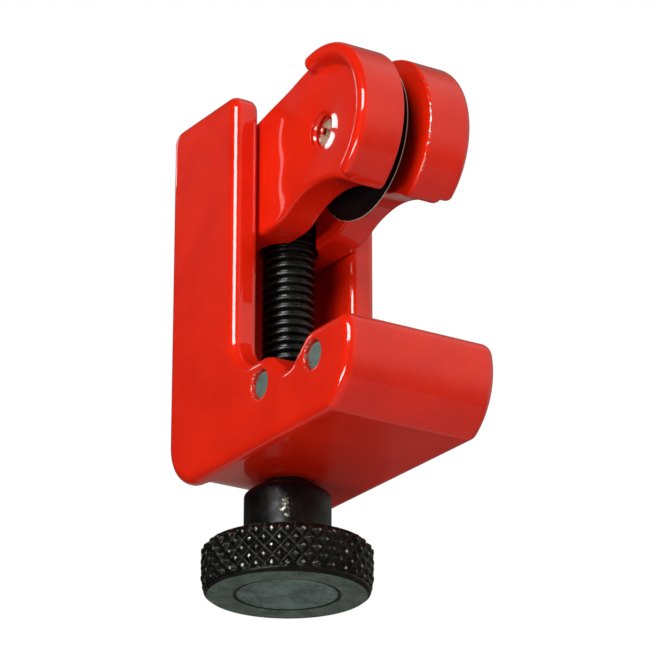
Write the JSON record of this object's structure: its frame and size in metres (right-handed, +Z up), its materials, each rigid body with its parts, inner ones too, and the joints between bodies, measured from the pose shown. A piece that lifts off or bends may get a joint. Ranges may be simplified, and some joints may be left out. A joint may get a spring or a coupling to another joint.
{
  "type": "mini tube cutter",
  "caption": "Compact C-frame tube cutter: a knurled knob and feed screw draw a carriage with a cutting wheel down a channel towards rollers in the jaw.",
  "frame": {"origin": "centre of the knob's flat end face, on the feed screw's axis", "axes": "+Z up the feed screw from the knob towards the open end of the column, +X from the column towards the front of the jaw, +Y across the frame"},
  "size_m": [0.0373, 0.019, 0.0577],
  "materials": {
    "frame_body": "glossy red enamel",
    "carriage": "glossy red enamel",
    "knob": "black oxide, diamond knurl",
    "feed_screw": "oiled black oxide",
    "roller_pin_rear": "satin",
    "roller_pin_front": "satin",
    "roller_rear": "satin",
    "roller_front": "satin",
    "cutting_wheel": "black oxide, ground edge",
    "wheel_axle_screw": "yellow zinc plate"
  },
  "bodies": {
    "frame": {"frame_body": "frame_body", "roller_pin_rear": "roller_pin_rear", "roller_pin_front": "roller_pin_front"},
    "feed": {"knob": "knob", "feed_screw": "feed_screw"},
    "slide": {"carriage": "carriage", "wheel_axle_screw": "wheel_axle_screw"},
    "wheel": {"cutting_wheel": "cutting_wheel"},
    "rear_roller": {"roller_rear": "roller_rear"},
    "front_roller": {"roller_front": "roller_front"}
  },
  "joints": [
    {"name": "knob_turn", "type": "hinge", "parent": "frame", "child": "feed", "pos_m": [0, 0, 0.012], "axis": [0, 0, 1], "range_deg": [0, 5840]},
    {"name": "carriage_slide", "type": "slide", "parent": "frame", "child": "slide", "axis": [0, 0, -1], "range_m": [0, 0.0162]},
    {"name": "wheel_spin", "type": "hinge", "parent": "slide", "child": "wheel", "pos_m": [0.0153, 0, 0.04845], "axis": [0, 1, 0], "continuous": true},
    {"name": "rear_roller_spin", "type": "hinge", "parent": "frame", "child": "rear_roller", "pos_m": [0.0093, 0, 0.0198], "axis": [0, 1, 0], "continuous": true},
    {"name": "front_roller_spin", "type": "hinge", "parent": "frame", "child": "front_roller", "pos_m": [0.0199, 0, 0.0198], "axis": [0, 1, 0], "continuous": true}
  ],
  "couplings": [
    {"joint": "knob_turn", "follows": "carriage_slide", "rad_per_m": 6283.2}
  ]
}
